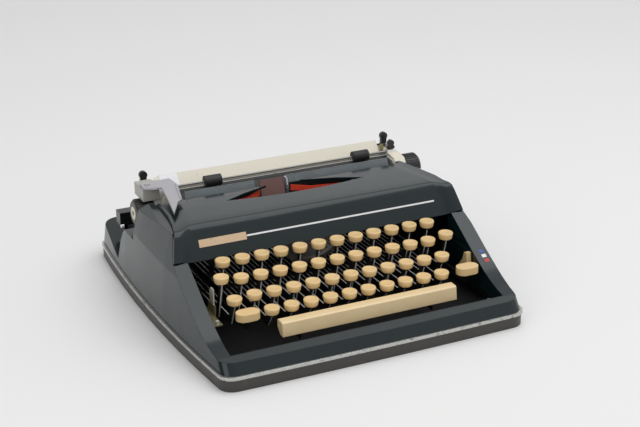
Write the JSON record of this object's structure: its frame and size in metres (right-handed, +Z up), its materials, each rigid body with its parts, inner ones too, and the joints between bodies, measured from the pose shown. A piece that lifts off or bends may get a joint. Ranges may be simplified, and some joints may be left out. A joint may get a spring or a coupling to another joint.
{
  "type": "portable typewriter",
  "caption": "Portable typewriter with a tray base, gloss shell, ribbon cover, hinged keys, shifting type basket and a travelling carriage with platen, bail and return lever.",
  "frame": {"origin": "middle of the flat underside of the tray, on the table", "axes": "+X to the typist's right, +Y to the back, +Z up"},
  "size_m": [0.3267, 0.338, 0.1066],
  "materials": {
    "tray_grey": "semi-gloss grey-brown paint",
    "bead_metal": "worn bright edging",
    "bush_rubber": "matt",
    "shell_petrol": "gloss dark petrol paint",
    "trim_white": "satin",
    "frame_steel": "plain steel",
    "rail_black": "satin black",
    "bell_brass": "satin",
    "holder_clear": "clear, slightly blue",
    "ribbon_fabric": "inked cloth, black above red",
    "key_cream": "smooth moulded cream",
    "guide_maroon": "satin maroon",
    "spool_black": "moulded",
    "carriage_grey": "cream-grey paint",
    "carriage_cream": "semi-gloss cream paint",
    "lever_grey": "satin grey",
    "platen_rubber": "fine ground rubber",
    "knob_black": "ribbed moulding"
  },
  "bodies": {
    "root": {"base_tray": "tray_grey", "base_bead": "bead_metal", "tray_bushes": "bush_rubber", "body_shell": "shell_petrol", "ribbon_cover": "shell_petrol", "cover_trim": "trim_white", "chassis_frame": "frame_steel", "chassis_screws": "frame_steel", "key_comb": "frame_steel", "lever_shaft": "frame_steel", "carriage_rail": "rail_black", "bell": "bell_brass", "card_holders": "holder_clear", "ribbon": "ribbon_fabric"},
    "space_bar": {"space_bar": "key_cream"},
    "shift_keys": {"shift_keys": "key_cream"},
    "shift_lock": {"shift_lock": "key_cream"},
    "margin_release_key": {"margin_release_key": "key_cream"},
    "backspace_key": {"backspace_key": "key_cream"},
    "ribbon_selector": {"ribbon_selector": "key_cream"},
    "ribbon_guide": {"ribbon_guide": "guide_maroon"},
    "ribbon_spool_left": {"ribbon_spool_left": "spool_black"},
    "ribbon_spool_right": {"ribbon_spool_right": "spool_black"},
    "mainspring_drum": {"mainspring_drum": "frame_steel"},
    "return_lever": {"return_lever": "lever_grey"},
    "paper_bail": {"paper_bail": "frame_steel"},
    "bail_rollers": {"bail_rollers": "platen_rubber"},
    "carriage_release_levers": {"carriage_release_levers": "knob_black"},
    "paper_release_lever": {"paper_release_lever": "knob_black"},
    "feed_rollers": {"feed_rollers": "bush_rubber"},
    "margin_stop_left": {"margin_stop_left": "rail_black"},
    "margin_stop_right": {"margin_stop_right": "rail_black"},
    "keys_upper_1": {"keys_upper_1": "key_cream"},
    "keys_upper_2": {"keys_upper_2": "key_cream"},
    "keys_upper_3": {"keys_upper_3": "key_cream"},
    "keys_upper_4": {"keys_upper_4": "key_cream"},
    "keys_upper_5": {"keys_upper_5": "key_cream"},
    "keys_upper_6": {"keys_upper_6": "key_cream"},
    "keys_upper_7": {"keys_upper_7": "key_cream"},
    "keys_upper_8": {"keys_upper_8": "key_cream"},
    "keys_upper_9": {"keys_upper_9": "key_cream"},
    "keys_upper_10": {"keys_upper_10": "key_cream"},
    "keys_upper_11": {"keys_upper_11": "key_cream"},
    "keys_lower_1": {"keys_lower_1": "key_cream"},
    "keys_lower_2": {"keys_lower_2": "key_cream"},
    "keys_lower_3": {"keys_lower_3": "key_cream"},
    "keys_lower_4": {"keys_lower_4": "key_cream"},
    "keys_lower_5": {"keys_lower_5": "key_cream"},
    "keys_lower_6": {"keys_lower_6": "key_cream"},
    "keys_lower_7": {"keys_lower_7": "key_cream"},
    "keys_lower_8": {"keys_lower_8": "key_cream"},
    "keys_lower_9": {"keys_lower_9": "key_cream"},
    "keys_lower_10": {"keys_lower_10": "key_cream"},
    "type_basket": {"type_segment": "frame_steel", "typebars": "frame_steel"},
    "carriage": {"carriage_frame": "carriage_grey", "carriage_ends": "carriage_cream", "paper_table": "carriage_cream"},
    "platen_roll": {"platen": "platen_rubber", "platen_knobs": "knob_black"}
  },
  "joints": [
    {"name": "carriage_travel", "type": "slide", "parent": "root", "child": "carriage", "axis": [1, 0, 0], "range_m": [-0.12, 0.1]},
    {"name": "mainspring_turn", "type": "hinge", "parent": "root", "child": "mainspring_drum", "pos_m": [-0.1, 0.081, 0.033], "axis": [0, 1, 0], "range_deg": [-465, 390]},
    {"name": "platen_turn", "type": "hinge", "parent": "carriage", "child": "platen_roll", "pos_m": [0.0125, 0.076, 0.075], "axis": [1, 0, 0], "continuous": true},
    {"name": "feed_turn", "type": "hinge", "parent": "carriage", "child": "feed_rollers", "pos_m": [0.0125, 0.09, 0.0629], "axis": [1, 0, 0], "continuous": true},
    {"name": "bail_lift", "type": "hinge", "parent": "carriage", "child": "paper_bail", "pos_m": [0.0125, 0.086, 0.084], "axis": [-1, 0, 0], "range_deg": [0, 50]},
    {"name": "bail_roller_spin", "type": "hinge", "parent": "paper_bail", "child": "bail_rollers", "pos_m": [0.0125, 0.076, 0.0953], "axis": [1, 0, 0], "continuous": true},
    {"name": "return_lever_swing", "type": "hinge", "parent": "carriage", "child": "return_lever", "pos_m": [-0.129, 0.072, 0.1025], "axis": [0, 0, 1], "range_deg": [0, 35], "stiffness_Nm_per_rad": 0.05, "springref_deg": -17.19},
    {"name": "carriage_release", "type": "hinge", "parent": "carriage", "child": "carriage_release_levers", "pos_m": [0.0125, 0.103, 0.0934], "axis": [1, 0, 0], "range_deg": [0, 12], "stiffness_Nm_per_rad": 0.05, "springref_deg": -17.19},
    {"name": "paper_release", "type": "hinge", "parent": "carriage", "child": "paper_release_lever", "pos_m": [0.1445, 0.09, 0.0934], "axis": [1, 0, 0], "range_deg": [0, 16]},
    {"name": "margin_left", "type": "slide", "parent": "carriage", "child": "margin_stop_left", "axis": [1, 0, 0], "range_m": [0, 0.06]},
    {"name": "margin_right", "type": "slide", "parent": "carriage", "child": "margin_stop_right", "axis": [1, 0, 0], "range_m": [-0.06, 0]},
    {"name": "shift_press", "type": "hinge", "parent": "root", "child": "shift_keys", "pos_m": [0, 0.062, 0.024], "axis": [1, 0, 0], "range_deg": [0, 4], "stiffness_Nm_per_rad": 2, "springref_deg": -11.46},
    {"name": "basket_drop", "type": "slide", "parent": "root", "child": "type_basket", "axis": [0, 0, -1], "range_m": [0, 0.0066], "stiffness_N_per_m": 600, "springref_m": -0.006},
    {"name": "shift_lock_press", "type": "hinge", "parent": "root", "child": "shift_lock", "pos_m": [0, 0.062, 0.024], "axis": [1, 0, 0], "range_deg": [0, 2.5], "stiffness_Nm_per_rad": 0.3, "springref_deg": -8.59},
    {"name": "margin_release_press", "type": "hinge", "parent": "root", "child": "margin_release_key", "pos_m": [0, 0.062, 0.024], "axis": [1, 0, 0], "range_deg": [0, 4], "stiffness_Nm_per_rad": 0.3, "springref_deg": -8.59},
    {"name": "backspace_press", "type": "hinge", "parent": "root", "child": "backspace_key", "pos_m": [0, 0.062, 0.024], "axis": [1, 0, 0], "range_deg": [0, 5], "stiffness_Nm_per_rad": 0.3, "springref_deg": -8.59},
    {"name": "space_press", "type": "hinge", "parent": "root", "child": "space_bar", "pos_m": [0, 0.062, 0.024], "axis": [1, 0, 0], "range_deg": [0, 2.5], "stiffness_Nm_per_rad": 0.6, "springref_deg": -14.32},
    {"name": "ribbon_selector_turn", "type": "hinge", "parent": "root", "child": "ribbon_selector", "pos_m": [0.132, -0.08, 0.027], "axis": [1, 0, 0], "range_deg": [-12, 12]},
    {"name": "ribbon_guide_lift", "type": "slide", "parent": "root", "child": "ribbon_guide", "axis": [0, 0, 1], "range_m": [0, 0.005]},
    {"name": "spool_left_turn", "type": "hinge", "parent": "root", "child": "ribbon_spool_left", "pos_m": [-0.09287, 0.002, 0.07], "axis": [0, 0, 1], "continuous": true},
    {"name": "spool_right_turn", "type": "hinge", "parent": "root", "child": "ribbon_spool_right", "pos_m": [0.07858, 0.002, 0.07], "axis": [0, 0, 1], "continuous": true},
    {"name": "press_upper_1", "type": "hinge", "parent": "root", "child": "keys_upper_1", "pos_m": [0, 0.062, 0.024], "axis": [1, 0, 0], "range_deg": [0, 5], "stiffness_Nm_per_rad": 0.3, "springref_deg": -8.59},
    {"name": "press_upper_2", "type": "hinge", "parent": "root", "child": "keys_upper_2", "pos_m": [0, 0.062, 0.024], "axis": [1, 0, 0], "range_deg": [0, 5], "stiffness_Nm_per_rad": 0.3, "springref_deg": -8.59},
    {"name": "press_upper_3", "type": "hinge", "parent": "root", "child": "keys_upper_3", "pos_m": [0, 0.062, 0.024], "axis": [1, 0, 0], "range_deg": [0, 5], "stiffness_Nm_per_rad": 0.3, "springref_deg": -8.59},
    {"name": "press_upper_4", "type": "hinge", "parent": "root", "child": "keys_upper_4", "pos_m": [0, 0.062, 0.024], "axis": [1, 0, 0], "range_deg": [0, 5], "stiffness_Nm_per_rad": 0.3, "springref_deg": -8.59},
    {"name": "press_upper_5", "type": "hinge", "parent": "root", "child": "keys_upper_5", "pos_m": [0, 0.062, 0.024], "axis": [1, 0, 0], "range_deg": [0, 5], "stiffness_Nm_per_rad": 0.3, "springref_deg": -8.59},
    {"name": "press_upper_6", "type": "hinge", "parent": "root", "child": "keys_upper_6", "pos_m": [0, 0.062, 0.024], "axis": [1, 0, 0], "range_deg": [0, 5], "stiffness_Nm_per_rad": 0.3, "springref_deg": -8.59},
    {"name": "press_upper_7", "type": "hinge", "parent": "root", "child": "keys_upper_7", "pos_m": [0, 0.062, 0.024], "axis": [1, 0, 0], "range_deg": [0, 5], "stiffness_Nm_per_rad": 0.3, "springref_deg": -8.59},
    {"name": "press_upper_8", "type": "hinge", "parent": "root", "child": "keys_upper_8", "pos_m": [0, 0.062, 0.024], "axis": [1, 0, 0], "range_deg": [0, 5], "stiffness_Nm_per_rad": 0.3, "springref_deg": -8.59},
    {"name": "press_upper_9", "type": "hinge", "parent": "root", "child": "keys_upper_9", "pos_m": [0, 0.062, 0.024], "axis": [1, 0, 0], "range_deg": [0, 5], "stiffness_Nm_per_rad": 0.3, "springref_deg": -8.59},
    {"name": "press_upper_10", "type": "hinge", "parent": "root", "child": "keys_upper_10", "pos_m": [0, 0.062, 0.024], "axis": [1, 0, 0], "range_deg": [0, 5], "stiffness_Nm_per_rad": 0.3, "springref_deg": -8.59},
    {"name": "press_upper_11", "type": "hinge", "parent": "root", "child": "keys_upper_11", "pos_m": [0, 0.062, 0.024], "axis": [1, 0, 0], "range_deg": [0, 5], "stiffness_Nm_per_rad": 0.3, "springref_deg": -8.59},
    {"name": "press_lower_1", "type": "hinge", "parent": "root", "child": "keys_lower_1", "pos_m": [0, 0.062, 0.024], "axis": [1, 0, 0], "range_deg": [0, 5], "stiffness_Nm_per_rad": 0.3, "springref_deg": -8.59},
    {"name": "press_lower_2", "type": "hinge", "parent": "root", "child": "keys_lower_2", "pos_m": [0, 0.062, 0.024], "axis": [1, 0, 0], "range_deg": [0, 5], "stiffness_Nm_per_rad": 0.3, "springref_deg": -8.59},
    {"name": "press_lower_3", "type": "hinge", "parent": "root", "child": "keys_lower_3", "pos_m": [0, 0.062, 0.024], "axis": [1, 0, 0], "range_deg": [0, 5], "stiffness_Nm_per_rad": 0.3, "springref_deg": -8.59},
    {"name": "press_lower_4", "type": "hinge", "parent": "root", "child": "keys_lower_4", "pos_m": [0, 0.062, 0.024], "axis": [1, 0, 0], "range_deg": [0, 5], "stiffness_Nm_per_rad": 0.3, "springref_deg": -8.59},
    {"name": "press_lower_5", "type": "hinge", "parent": "root", "child": "keys_lower_5", "pos_m": [0, 0.062, 0.024], "axis": [1, 0, 0], "range_deg": [0, 5], "stiffness_Nm_per_rad": 0.3, "springref_deg": -8.59},
    {"name": "press_lower_6", "type": "hinge", "parent": "root", "child": "keys_lower_6", "pos_m": [0, 0.062, 0.024], "axis": [1, 0, 0], "range_deg": [0, 5], "stiffness_Nm_per_rad": 0.3, "springref_deg": -8.59},
    {"name": "press_lower_7", "type": "hinge", "parent": "root", "child": "keys_lower_7", "pos_m": [0, 0.062, 0.024], "axis": [1, 0, 0], "range_deg": [0, 5], "stiffness_Nm_per_rad": 0.3, "springref_deg": -8.59},
    {"name": "press_lower_8", "type": "hinge", "parent": "root", "child": "keys_lower_8", "pos_m": [0, 0.062, 0.024], "axis": [1, 0, 0], "range_deg": [0, 5], "stiffness_Nm_per_rad": 0.3, "springref_deg": -8.59},
    {"name": "press_lower_9", "type": "hinge", "parent": "root", "child": "keys_lower_9", "pos_m": [0, 0.062, 0.024], "axis": [1, 0, 0], "range_deg": [0, 5], "stiffness_Nm_per_rad": 0.3, "springref_deg": -8.59},
    {"name": "press_lower_10", "type": "hinge", "parent": "root", "child": "keys_lower_10", "pos_m": [0, 0.062, 0.024], "axis": [1, 0, 0], "range_deg": [0, 5], "stiffness_Nm_per_rad": 0.3, "springref_deg": -8.59}
  ],
  "couplings": [
    {"joint": "mainspring_turn", "follows": "carriage_travel", "rad_per_m": 66.667},
    {"joint": "feed_turn", "follows": "platen_turn", "ratio": -3.9143},
    {"joint": "basket_drop", "follows": "shift_press", "m_per_rad": 0.0931},
    {"joint": "spool_right_turn", "follows": "spool_left_turn", "ratio": 1}
  ]
}
